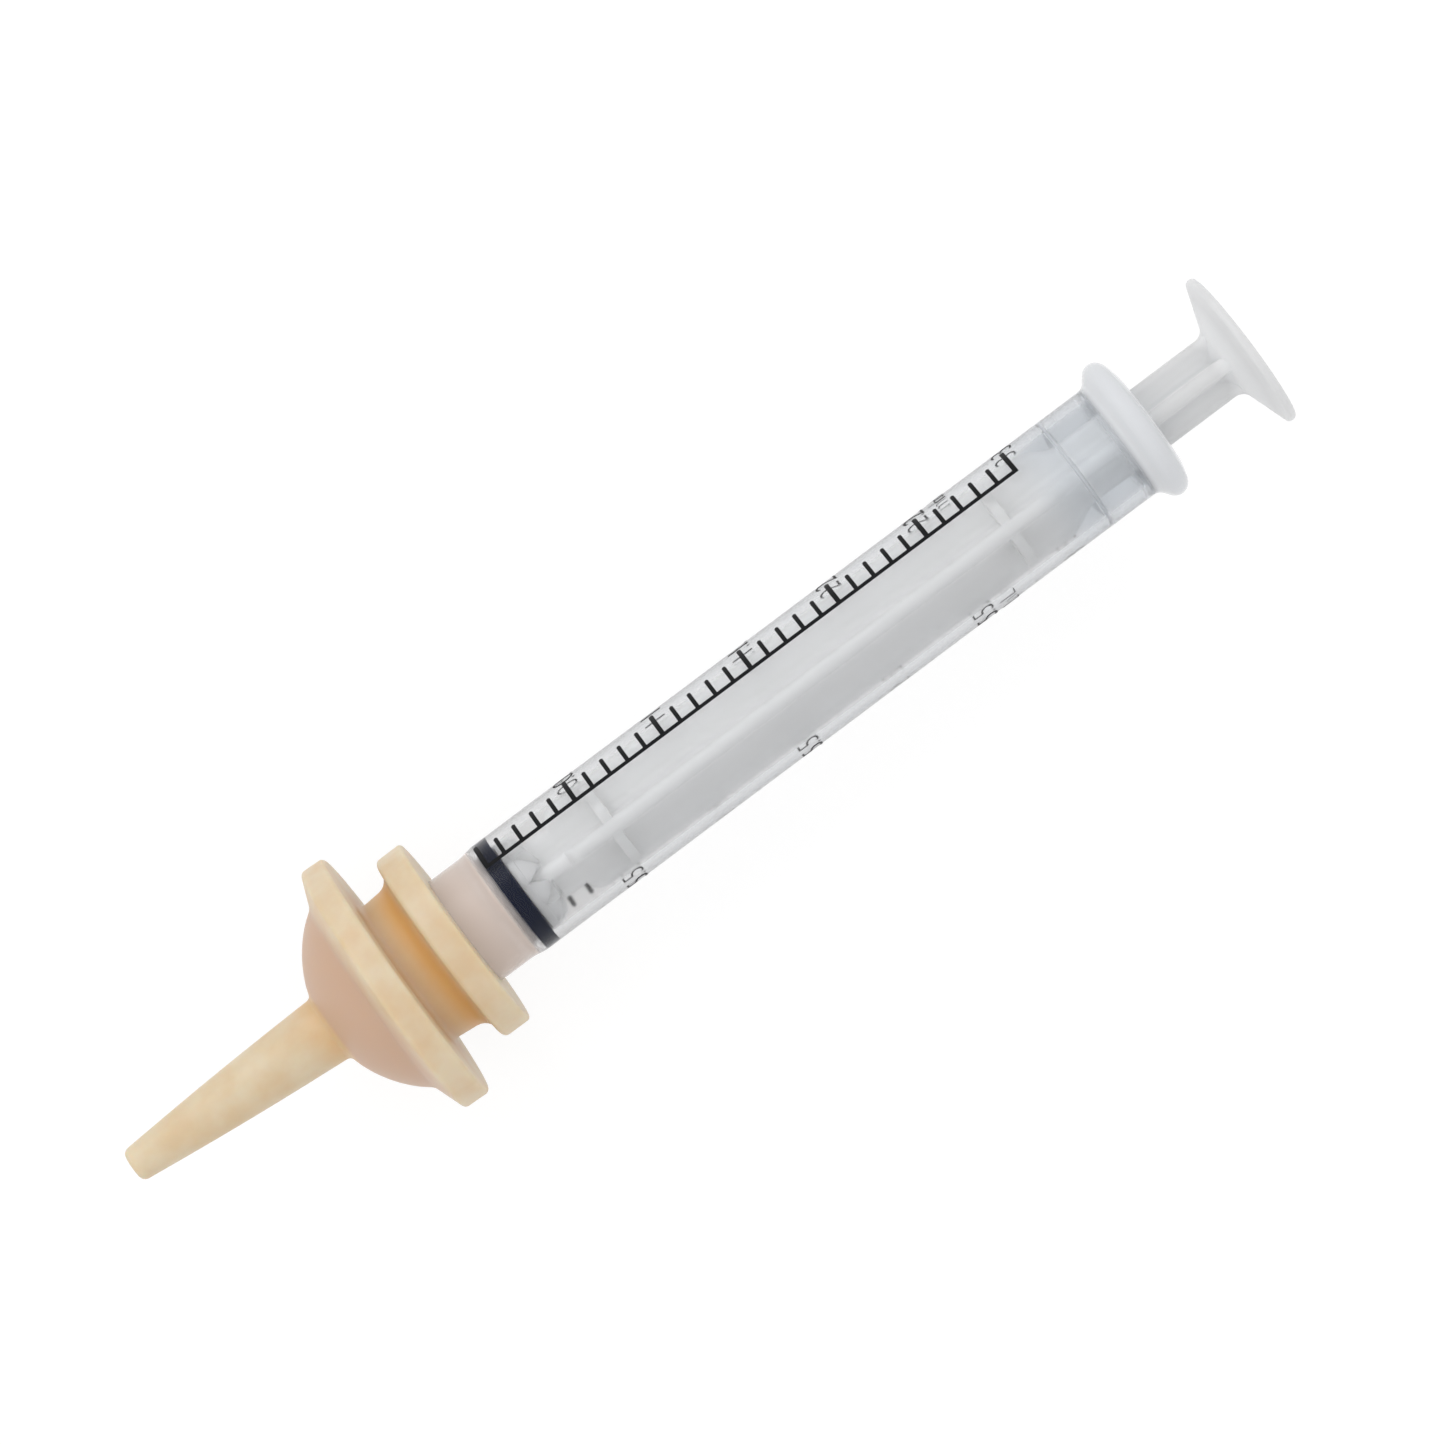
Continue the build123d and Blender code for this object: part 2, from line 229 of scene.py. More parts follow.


# natural polypropylene in a thick moulding: milky white, satin, light sinks in about 4 mm;
# "body" holds in red how much the stem is painted brighter inside the barrel, as painted light,
# and in green where it is painted paler, as painted light in the channels and under the disc
def milkyPolypropylene():
    material, tree, output = newMaterial("milky_moulded_polypropylene")
    coords = addNode(tree, "ShaderNodeTexCoord")
    zoneMap = addNode(tree, "ShaderNodeAttribute", {"attribute_name": "body"})
    zones = addNode(tree, "ShaderNodeSeparateColor", sockets={"Color": zoneMap.outputs["Color"]})
    # painted light: the lift paints the stem near white for all rays but the camera's, standing in for the
    # light that the barrel's wall takes; the eye never sees it directly: drawn out, the stem is as grey as
    # the rod
    paths = addNode(tree, "ShaderNodeLightPath")
    notDirect = addNode(tree, "ShaderNodeMath", {"operation": "SUBTRACT"}, {
        0: 1.0, 1: paths.outputs["Is Camera Ray"],
    })
    lift = addNode(tree, "ShaderNodeMath", {"operation": "MULTIPLY"}, {
        0: zones.outputs["Red"], 1: notDirect.outputs[0],
    })
    # faint clouds about 7 mm long and 1.7 mm across
    stretch = addNode(tree, "ShaderNodeMapping", sockets={
        "Vector": coords.outputs["Object"], "Scale": (150, 600, 600),
    })
    cloud = addNode(tree, "ShaderNodeTexNoise", sockets={
        "Vector": stretch.outputs[0], "Scale": 1.0, "Detail": 3.0,
    })
    cloudy = addNode(tree, "ShaderNodeMix", {"data_type": "RGBA"}, {
        0: cloud.outputs["Fac"], "A": colour("#C6C7C8"), "B": colour("#CFCFD0"),
    })
    # painted light: paler in the channels and under the disc, where shade falls
    paintedRecessLight = addNode(tree, "ShaderNodeMix", {"data_type": "RGBA"}, {
        0: zones.outputs["Green"], "A": cloudy.outputs["Result"], "B": colour("#E8E9EA"),
    })
    tint = addNode(tree, "ShaderNodeMix", {"data_type": "RGBA"}, {
        0: lift.outputs[0], "A": paintedRecessLight.outputs["Result"], "B": colour("#FDFDFC"),
    })
    rough = addNode(tree, "ShaderNodeMapRange", sockets={
        "Value": cloud.outputs["Fac"], "To Min": 0.28, "To Max": 0.42,
    })
    body = addNode(tree, "ShaderNodeBsdfPrincipled", {"subsurface_method": "RANDOM_WALK"}, {
        "Base Color": tint.outputs["Result"], "Roughness": rough.outputs[0], "IOR": 1.49,
        "Subsurface Weight": 1.0, "Subsurface Radius": (1.0, 1.0, 1.0), "Subsurface Scale": 0.004,
    })
    tree.links.new(body.outputs[0], output.inputs["Surface"])
    return material


# moulded nitrile rubber under a film of silicone oil: blue-black with a soft gloss
def blackNitrile():
    material, tree, output = newMaterial("oiled_nitrile_rubber")
    coords = addNode(tree, "ShaderNodeTexCoord")
    # grain of about 0.25 mm
    grain = addNode(tree, "ShaderNodeTexNoise", sockets={"Vector": coords.outputs["Object"], "Scale": 4000.0})
    tint = addNode(tree, "ShaderNodeMix", {"data_type": "RGBA"}, {
        0: grain.outputs["Fac"], "A": colour("#060D24"), "B": colour("#0F1A38"),
    })
    body = addNode(tree, "ShaderNodeBsdfPrincipled", sockets={
        "Base Color": tint.outputs["Result"], "Roughness": 0.5, "IOR": 1.52, "Specular IOR Level": 0.2,
    })
    tree.links.new(body.outputs[0], output.inputs["Surface"])
    return material


# dipped natural latex: cream, warmer where it is thin, with painted shade in the groove, satin skin;
# "tone" holds in red the thin dome's pink and painted shade in pink on the groove's front wall,
# in green painted shade in ochre down the groove and ochre round the teat's root
def creamLatex():
    material, tree, output = newMaterial("dipped_cream_latex")
    coords = addNode(tree, "ShaderNodeTexCoord")
    tone = addNode(tree, "ShaderNodeAttribute", {"attribute_name": "tone"})
    zones = addNode(tree, "ShaderNodeSeparateColor", sockets={"Color": tone.outputs["Color"]})
    # cloudy mottling about 3 mm across
    cloud = addNode(tree, "ShaderNodeTexNoise", sockets={
        "Vector": coords.outputs["Object"], "Scale": 330.0, "Detail": 3.0,
    })
    spread = addNode(tree, "ShaderNodeMapRange", sockets={
        "Value": cloud.outputs["Fac"], "From Min": 0.35, "From Max": 0.65,
    })
    base = addNode(tree, "ShaderNodeMix", {"data_type": "RGBA"}, {
        0: spread.outputs[0], "A": colour("#DBC39F"), "B": colour("#E0D0B3"),
    })
    # pink of the thin dome, and painted shade in pink on the groove's front wall
    pink = addNode(tree, "ShaderNodeMix", {"data_type": "RGBA"}, {
        0: zones.outputs["Red"], "A": base.outputs["Result"], "B": colour("#CEAC92"),
    })
    # painted shade: ochre down in the groove; ochre round the teat's root too
    ochre = addNode(tree, "ShaderNodeMix", {"data_type": "RGBA"}, {
        0: zones.outputs["Green"], "A": pink.outputs["Result"], "B": colour("#E0AC64"),
    })
    # fine skin of the former, about 0.15 mm
    skin = addNode(tree, "ShaderNodeTexNoise", sockets={
        "Vector": coords.outputs["Object"], "Scale": 6500.0, "Detail": 2.0,
    })
    bump = addNode(tree, "ShaderNodeBump", sockets={
        "Height": skin.outputs["Fac"], "Strength": 0.12, "Distance": 0.00004,
    })
    body = addNode(tree, "ShaderNodeBsdfPrincipled", {"subsurface_method": "RANDOM_WALK"}, {
        "Base Color": ochre.outputs["Result"], "Roughness": 0.42, "IOR": 1.5, "Normal": bump.outputs[0],
        "Subsurface Weight": 0.5, "Subsurface Radius": (2.2, 1.4, 0.8), "Subsurface Scale": 0.001,
    })
    tree.links.new(body.outputs[0], output.inputs["Surface"])
    return material


# pad-printed ink: matt black, a little uneven over 0.4 mm
def blackInk():
    material, tree, output = newMaterial("pad_printed_black_ink")
    coords = addNode(tree, "ShaderNodeTexCoord")
    patch = addNode(tree, "ShaderNodeTexNoise", sockets={"Vector": coords.outputs["Object"], "Scale": 2500.0})
    rough = addNode(tree, "ShaderNodeMapRange", sockets={
        "Value": patch.outputs["Fac"], "To Min": 0.35, "To Max": 0.6,
    })
    body = addNode(tree, "ShaderNodeBsdfPrincipled", sockets={
        "Base Color": colour("#0B0B0E"), "Roughness": rough.outputs[0], "Specular IOR Level": 0.15,
    })
    tree.links.new(body.outputs[0], output.inputs["Surface"])
    return material


barrelSizes = {  # mm and degrees; places along the axis count from the zero line
    "boreRadius": 4.25, "outerRadius": 5.15, "flangeRadius": 6.45, "flangeRound": 1.05, "beadEnd": 10,
    "flankSlope": 53, "flankRound": 1.0, "mouthRise": 0.2, "mouthLead": 0.45, "leadRound": 0.15,
    "lipFlat": (0.15, -0.05), "lipRounds": (0.2, 0.15),
    "ridgeBeforeMouth": 7.1, "ridgeHeight": 0.03, "ridgeLength": 0.5,
    "boreEnd": -1.1, "endCone": 0.5, "noseFloor": -2.1, "stepFront": -1.8, "stepRear": -0.1, "stepRun": 1.0,
    "collarRadius": 4.95, "collarWall": 0.9, "collarRound": 0.3, "boreRound": 0.1, "nozzleReach": 0.5,
    "nozzleRootRadius": 2.1, "nozzleTipRadius": 1.975, "nozzleBore": 0.9, "tipRounds": (0.05, 0.15),
    # how finely it is drawn
    "stepPoints": 13, "beadPoints": 17, "ridgePoints": 15, "ringStep": 1.2, "columns": 160,
    # how the plastic looks: milky at the mouth, a painted highlight on the ridge, a painted reflection
    # of the latex's warm colour at the nose, milky there too, and painted shade from just in front of
    # the ridge to the mouth; both distances are in front of the mouth or ridge
    "milkyMouth": (3.4, 2.6), "ridgeHighlight": 0.95, "ridgeHighlightWidth": 0.16,
    "noseReflection": (-1.05, -0.65), "noseMilk": 0.75, "rearShade": (5, 1),
}


# closed profile turned about the axis: the outside runs from the collar to the mouth with an
# S step (smoothStep), the inside comes back over the ridge (a low cosine hump)
def buildBarrel(material):
    s = barrelSizes
    at = lambda x: zeroLineX + x
    nozzleTipX = barrelBox[0][0]
    collarFrontX = nozzleTipX + s["nozzleReach"]
    skirt = s["collarRadius"] - s["collarWall"]
    u = np.linspace(0, 1, s["stepPoints"])[:, None]
    stepCurve = np.hstack([
        at(s["stepFront"]) + u * (s["stepRear"] - s["stepFront"]),
        s["collarRadius"] + smoothStep(u, 0, 1) * (s["outerRadius"] - s["collarRadius"]),
    ])
    beadX = mouthX - s["mouthRise"] - s["flangeRound"]
    beadR = s["flangeRadius"] - s["flangeRound"]
    turn = np.radians(np.linspace(90 + s["flankSlope"], s["beadEnd"], s["beadPoints"]))
    bead = np.stack([np.cos(turn), np.sin(turn)], axis=-1) * s["flangeRound"] + [beadX, beadR]
    footX = bead[0, 0] - (bead[0, 1] - s["outerRadius"]) / math.tan(math.radians(s["flankSlope"]))
    front = easedLine([
        (collarFrontX, skirt, 0), (collarFrontX, s["collarRadius"], s["collarRound"]),
        (at(s["stepFront"]), s["collarRadius"], 0),
    ])
    flank = easedLine([
        (at(s["stepRear"]) + s["stepRun"], s["outerRadius"], 0), (footX, s["outerRadius"], s["flankRound"]),
        tuple(bead[0]) + (0,),
    ])
    ridgeX = mouthX - s["mouthRise"] - s["ridgeBeforeMouth"]
    v = np.linspace(1, -1, s["ridgePoints"])[:, None]
    hump = s["ridgeHeight"] * (0.5 + 0.5 * np.cos(np.pi * v))
    ridge = np.hstack([ridgeX + v * s["ridgeLength"] / 2, s["boreRadius"] - hump])
    leadR = s["boreRadius"] + s["mouthLead"]
    mouth = easedLine([
        tuple(bead[-1]) + (0,), (mouthX, leadR + s["lipFlat"][0], s["lipRounds"][0]),
        (mouthX, leadR + s["lipFlat"][1], s["lipRounds"][1]),
        (mouthX - s["mouthRise"] - s["mouthLead"], s["boreRadius"], s["leadRound"]),
        (ridge[0, 0], s["boreRadius"], 0),
    ])
    inside = easedLine([
        (ridge[-1, 0], s["boreRadius"], 0), (at(s["boreEnd"]), s["boreRadius"], s["boreRound"]),
        (at(s["boreEnd"]) - s["endCone"], s["nozzleBore"], s["boreRound"]),
        (nozzleTipX, s["nozzleBore"], s["tipRounds"][0]),
        (nozzleTipX, s["nozzleTipRadius"], s["tipRounds"][1]),
        (at(s["noseFloor"]), s["nozzleRootRadius"], s["collarRound"]),
        (at(s["noseFloor"]), skirt, s["collarRound"]), (collarFrontX, skirt, 0),
    ])
    profile = np.concatenate([front, stepCurve[1:], flank[1:], bead[1:], mouth[1:], ridge[1:], inside[1:-1]])
    profile = filledLine(profile, s["ringStep"])
    piece = gridObject("clearBarrel", turnProfile(profile, s["columns"]), material, loop=True)
    x = meshPoints(piece.data)[:, 0]
    milkAndHighlight = smoothStep(x, mouthX - s["milkyMouth"][0], mouthX - s["milkyMouth"][1])
    # painted highlight: a thin bright line along the ridge
    milkAndHighlight += s["ridgeHighlight"] * np.exp(-((x - ridgeX) / s["ridgeHighlightWidth"]) ** 2)
    # painted reflection of the latex's warm colour over the nose, made milky as well
    glow = 1 - smoothStep(x, at(s["noseReflection"][0]), at(s["noseReflection"][1]))
    # painted shade from just in front of the ridge to the mouth
    paintedRearShade = smoothStep(x, ridgeX - s["rearShade"][0], ridgeX - s["rearShade"][1])
    setAttribute(piece.data, "cast", milkAndHighlight + s["noseMilk"] * glow, glow, paintedRearShade)
    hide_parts("barrel")
    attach(piece, "barrel")
    print("barrel:", len(profile), "rings")


ringSizes = {  # mm, front and rear of the middle of its box
    "front": 0.56, "rear": 0.91, "innerRadius": 2.795, "press": 0.02, "round": 0.18, "innerRound": 0.6,
    "columns": 128,
}


# squeezed cord: a rectangle with rounded corners, pressed a little into the bore
def buildRing(material):
    s = ringSizes
    outer = barrelSizes["boreRadius"] + s["press"]
    x0, x1 = ringMiddleX - s["front"], ringMiddleX + s["rear"]
    start = (ringMiddleX, outer, 0)
    profile = easedLine([
        start, (x1, outer, s["round"]), (x1, s["innerRadius"], s["innerRound"]),
        (x0, s["innerRadius"], s["innerRound"]), (x0, outer, s["round"]), start,
    ])[:-1]
    piece = gridObject("ringSeal", turnProfile(profile, s["columns"]), material, loop=True, sharp=60)
    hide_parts("o_ring")
    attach(piece, "seal")
    print("ring seal made")


plungerSizes = {  # mm, along the axis from the zero line
    "noseTip": -1.55, "noseFlat": 0.9, "front": -1.05, "grooveFront": -0.36, "grooveRear": 1.22,
    "crown": 1.9, "crownTip": 3.25, "ribFront": 5.5, "ribFull": 7.2, "landRadius": 4.19,
    "grooveRadius": 2.78, "crownRadius": 4.13, "landRounds": (0.05, 0.1, 0.08),
    "rodRadius": 2.8, "ribRadius": 4.08, "ribThickness": 1.3, "ribEdge": 0.58, "ribFillet": 0.95,
    "ribFall": 3.4, "webRadius": 3.78, "webThickness": 0.9, "frontWebInset": 2.7, "rearWebInset": 3.6,
    "teeth": 12, "notchRoot": 0.15, "notchHalfAngle": 12, "notchFloor": 0.6, "crownTurn": 6.0, "turn": 6.2,
    "channelEnd": 1.6, "channelFloor": 1.26, "coneRound": 1.1, "thumbRadius": 7.05, "thumbRim": 0.7,
    "thumbCone": 1.5, "rimRounds": (0.32, 0.34),
    # how finely it is drawn: points on each curve, columns on a notch, and the length behind the
    # crown over which the columns move to the ribs
    "quarterPoints": 13, "fallPoints": 19, "runPoints": 10, "middlePoints": 12, "joinPoints": 5,
    "landSteps": 3, "discSteps": 8, "discStep": 1.5, "sideSteps": 6, "notchSteps": 4, "slide": 0.7,
    # how it looks: less painted lift behind the ribs and on their edges; painted light in channels and cone
    "rearDrop": 0.25, "rearReach": 3, "edgeDrop": 0.35, "edgeSoft": 0.1,
    "channelLight": 0.4, "channelDepth": (0.3, 1.2),
    "coneLight": 0.8, "coneRadii": (3.5, 6.5), "coneReach": 1.4,
}


# section of the crossed ribs for each outline radius e, as angle and radius: rib tip on the
# circle e, rounded edge, flat side, then the fillet's quarter circle, mirrored at 45 degrees
def ribSection(outline):
    s = plungerSizes
    half, edge, fillet = s["ribThickness"] / 2, s["ribEdge"], s["ribFillet"]
    e = np.where(outline > 0, outline, s["rodRadius"])[:, None]
    onRow = np.ones_like(e)
    edgeOut = np.sqrt((e - edge) ** 2 - (half - edge) ** 2)
    tip = (half - edge) * np.array([0, 0.55]) * onRow
    turn = np.radians([75, 50, 25, 0])
    cornerAt = half + fillet
    fall = np.linspace(0, 1, s["sideSteps"] + 1)[1:]
    bend = np.radians(180 + 45 * fall)
    across = np.hstack([
        tip, (half - edge + edge * np.cos(turn)) * onRow, half * np.ones_like(fall) * onRow,
        (cornerAt + fillet * np.cos(bend)) * onRow,
    ])
    out = np.hstack([
        np.sqrt(e**2 - tip**2), edgeOut + edge * np.sin(turn), edgeOut + (cornerAt - edgeOut) * fall,
        (cornerAt + fillet * np.sin(bend)) * onRow,
    ])
    angle = np.arctan2(across, out)
    radius = np.hypot(across, out)
    angle = np.hstack([angle, np.radians(45) * onRow, np.pi / 2 - angle[:, :0:-1]])
    return angle, radius


# one closed surface r(x, a) about the axis: at each x the radius is the larger of the round
# core and the crossed ribs; the columns lie on the ribs' edges, and behind the rear land they
# slide to the edges of the crown's notches
def buildPlunger(material):
    s = plungerSizes
    rod = s["rodRadius"]
    ribBack = mouthX - barrelSizes["mouthRise"] - barrelSizes["ridgeBeforeMouth"] - zeroLineX
    ribFall = ribBack - s["ribFall"]
    thumb = thumbX - zeroLineX
    quarterTurn = np.linspace(0, 1, s["quarterPoints"]) * np.pi / 2
    rows = []

    # a row holds x, the round core's radius and the ribs' outline radius, 0 for no ribs; rows
    # at one x make a face across the axis
    def addRows(x, core, outline=rod):
        x, core, outline = np.broadcast_arrays(np.atleast_1d(x), core, outline)
        rows.append(np.stack([x, core, outline], axis=-1))

    edgeRound, floorRound, rearRound = s["landRounds"]
    land = easedLine([
        (s["noseTip"], 0, 0), (s["noseTip"], s["noseFlat"], floorRound),
        (s["front"], s["landRadius"], edgeRound),
        (s["grooveFront"], s["landRadius"], edgeRound), (s["grooveFront"], s["grooveRadius"], floorRound),
        (s["grooveRear"], s["grooveRadius"], floorRound), (s["grooveRear"], s["landRadius"], rearRound),
        (s["crown"], s["landRadius"], edgeRound), (s["crown"], s["crownRadius"], 0),
    ], s["landSteps"])
    addRows(land[:, 0], land[:, 1], 0)
    crownLength = s["crownTip"] - s["crown"]
    crownX = s["crown"] + crownLength * np.sin(quarterTurn[1:])
    addRows(crownX, rod + (s["crownRadius"] - rod) * np.cos(quarterTurn[1:]))
    addRows(np.linspace(s["crownTip"], s["ribFront"], s["runPoints"])[1:], 0)
    riseX = s["ribFull"] - (s["ribFull"] - s["ribFront"]) * np.cos(quarterTurn)
    addRows(riseX, 0, rod + (s["ribRadius"] - rod) * np.sin(quarterTurn))
    webs = s["ribFull"] + s["frontWebInset"], ribFall - s["rearWebInset"]
    for middle in webs:
        for x, core in ((-1, 0), (-1, s["webRadius"]), (1, s["webRadius"]), (1, 0)):
            addRows(middle + x * s["webThickness"] / 2, core, s["ribRadius"])
        if middle == webs[0]:
            addRows(np.linspace(webs[0] + 1, webs[1] - 1, s["middlePoints"]), 0, s["ribRadius"])
    u = np.linspace(0, 1, s["fallPoints"])
    addRows(ribFall + s["ribFall"] * u, 0, s["ribRadius"] - (s["ribRadius"] - rod) * smoothStep(u, 0, 1))
    coneX = thumb - s["thumbRim"] - s["thumbCone"]
    hollowX = coneX - s["channelEnd"]
    addRows(np.linspace(ribBack, hollowX, s["runPoints"])[1:], 0)
    disc = easedLine([
        (ribBack, rod, 0), (coneX, rod, s["coneRound"]),
        (thumb - s["thumbRim"], s["thumbRadius"], s["rimRounds"][0]),
        (thumb, s["thumbRadius"], s["rimRounds"][1]), (thumb, 0, 0),
    ], s["discSteps"])
    # the channels end in a quarter ellipse, and behind it the cone runs under the ribs' fillet,
    # whose last point is number last in the disc's profile
    last = s["discSteps"] + 1
    hollow = hollowX + s["channelEnd"] * np.sin(quarterTurn[1:])
    floor = s["channelFloor"] + (rod - s["channelFloor"]) * (1 - np.cos(quarterTurn[1:]))
    addRows(hollow, floor, np.interp(hollow, disc[:last, 0], disc[:last, 1]))
    (filletX, filletR), (nextX, nextR) = disc[last], disc[last + 1]
    join = np.linspace(coneX, filletX, s["joinPoints"])[1:]
    slope = (nextR - filletR) / (nextX - filletX)
    addRows(join, filletR - slope * (filletX - join), np.interp(join, disc[:last + 1, 0], disc[:last + 1, 1]))
    disc = filledLine(disc[last:], s["discStep"])
    addRows(disc[1:, 0], disc[1:, 1], 0)
    table = np.concatenate(rows)
    ribAngle, ribRadius = ribSection(table[:, 2])

    # where the columns stand in the crown: some on each notch, the rest on the tooth beside it
    columns = 4 * ribAngle.shape[1]
    ribAngle = np.hstack([ribAngle + quarter * np.pi / 2 for quarter in range(4)])
    perTooth = columns // s["teeth"]
    pitch = 2 * np.pi / s["teeth"]
    shift = 7  # columns, so that each stands near its place on the ribs
    tooth, place = np.divmod(np.arange(columns) + shift, perTooth)
    notchSteps = s["notchSteps"]
    closed = 0.02  # a notch's share of its full width where it starts
    notchRootX = s["crown"] + s["notchRoot"]
    opening = np.clip((table[:, 0] - notchRootX) / (s["crownTip"] - notchRootX), closed, 1)
    halfNotch = np.radians(s["notchHalfAngle"]) * opening[:, None]
    inNotch = place < notchSteps
    notchShare = place / (notchSteps - 1) * 2 - 1
    toothShare = (place - notchSteps) / (perTooth - notchSteps - 1)
    local = np.where(inNotch, halfNotch * notchShare, halfNotch + (pitch - 2 * halfNotch) * toothShare)
    apart = 0.002  # radians between a notch's side and its tooth's side
    local = local + np.where(place == 0, -apart, 0) + np.where(place == notchSteps - 1, apart, 0)
    crownAngle = tooth * pitch + local - math.radians(s["crownTurn"])
    slide = np.clip((table[:, :1] - s["crownTip"]) / s["slide"], 0, 1)
    angle = crownAngle * (1 - slide) + ribAngle * slide

    # radius of the ribs at those angles, the core over it, and the notches cut to a rounded core
    fold = np.abs((angle + np.pi / 4) % (np.pi / 2) - np.pi / 4)
    eighth = ribRadius.shape[1]
    ribs = np.stack([np.interp(fold[i], ribAngle[i, :eighth], ribRadius[i]) for i in range(len(table))])
    radius = np.where(table[:, 2:] > 0, np.maximum(table[:, 1:2], ribs), table[:, 1:2])
    inside = np.clip((table[:, :1] - s["crown"]) / (s["notchFloor"] * crownLength), 0, 1)
    floorRadius = np.maximum(rod * np.sqrt(1 - inside**2), ribs)
    inCrown = np.zeros(len(table), dtype=bool)
    inCrown[len(land):len(land) + len(crownX)] = True
    cut = inCrown[:, None] & inNotch[None] & (opening[:, None] > closed)
    radius = np.where(cut, floorRadius, radius)
    angle = angle + math.radians(s["turn"])
    # a turn about +X carries +Z towards -Y
    points = np.stack([
        np.repeat(zeroLineX + table[:, :1], columns, axis=1),
        -radius * np.sin(angle), radius * np.cos(angle),
    ], axis=-1)
    piece = gridObject("plungerMoulding", points, material, poles=True, sharp=32)
    # painted light, for the two maps that the material reads: the lift, and light in channels and cone
    x, y, z = (meshPoints(piece.data) - [zeroLineX, 0, 0]).T
    radial = np.hypot(y, z)
    inChannel = smoothStep(rod - radial, *s["channelDepth"]) * smoothStep(x, ribFall, ribBack)
    underDisc = smoothStep(x, coneX - s["coneReach"], coneX) * (1 - smoothStep(radial, *s["coneRadii"]))
    onEdge = smoothStep(radial, rod + s["edgeSoft"], s["ribRadius"] - s["edgeSoft"])
    onEdge *= smoothStep(x, s["ribFront"], s["ribFull"])
    lift = 1 - s["rearDrop"] * smoothStep(x, ribFall, ribBack + s["rearReach"]) - s["edgeDrop"] * onEdge
    # painted light in the channels and under the disc, where shade falls
    recessLight = np.maximum(s["channelLight"] * inChannel, s["coneLight"] * underDisc)
    setAttribute(piece.data, "body", lift, recessLight)
    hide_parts("plunger")
    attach(piece, "plunger")
    print("plunger:", len(table), "rows of", columns)


nippleSizes = {  # mm, and degrees for lean
    "backDiscRadius": 8.8, "backDisc": 2.6, "backRounds": (0.3, 0.5), "neckRadius": 6.48, "neckFlare": 0.3,
    "neck": 3.3, "neckRounds": (1.3, 0.5), "frontDiscRadius": 11.575, "frontDisc": 2.25,
    "frontRounds": (0.4, 0.45), "shoulder": 1.05, "shoulderRound": 1.2, "shoulderEnd": 0.9,
    "domeRadius": 10.8, "dome": 5.25, "rootRound": 0.5, "rootBlend": 0.35,
    "teatRootRadius": 2.875, "teatTipRadius": 1.45, "teatBulge": 0.12, "teatRound": 0.6, "wall": 1.6,
    "socketRadius": 4.98, "cavityRadius": 7.0, "cavityBack": 6.65, "cavityRounds": (0.6, 0.2),
    "channelRadius": 1.75, "channelTipRadius": 0.55, "feedHoleRadius": 0.4, "feedHole": 1.5,
    "holeRounds": (0.15, 0.1, 0.05), "rootSwell": 0.02,
    # the lean grows over leanRun, from leanFrom in front of the rear face
    "lean": 1.7, "leanFrom": 1, "leanRun": 6, "leanPivot": 4,
    # how finely it is drawn
    "domePoints": 24, "teatPoints": 40, "hollowPoints": 18, "ringStep": 0.9, "columns": 160,
    # how it looks: pink on the dome; painted shade in pink on the groove's front wall and in ochre in
    # the groove, paler at its front; ochre round the teat's root
    "pinkRun": 1.2, "pinkRadii": (2.9, 4.2), "wallShade": 0.5, "wallRun": (0.3, 1.6), "wallRadii": (7, 9.5),
    "wallStart": -0.4, "grooveStart": -0.3, "grooveRear": (-0.5, 0.3), "grooveFront": (0.4, 2.6),
    "grooveLeast": 0.2, "grooveRadii": (6.4, 8.6),
    "rootOchre": 0.45, "rootMiddle": -0.3, "rootSpread": 1.3, "rootRadii": (3.2, 4.5),
}


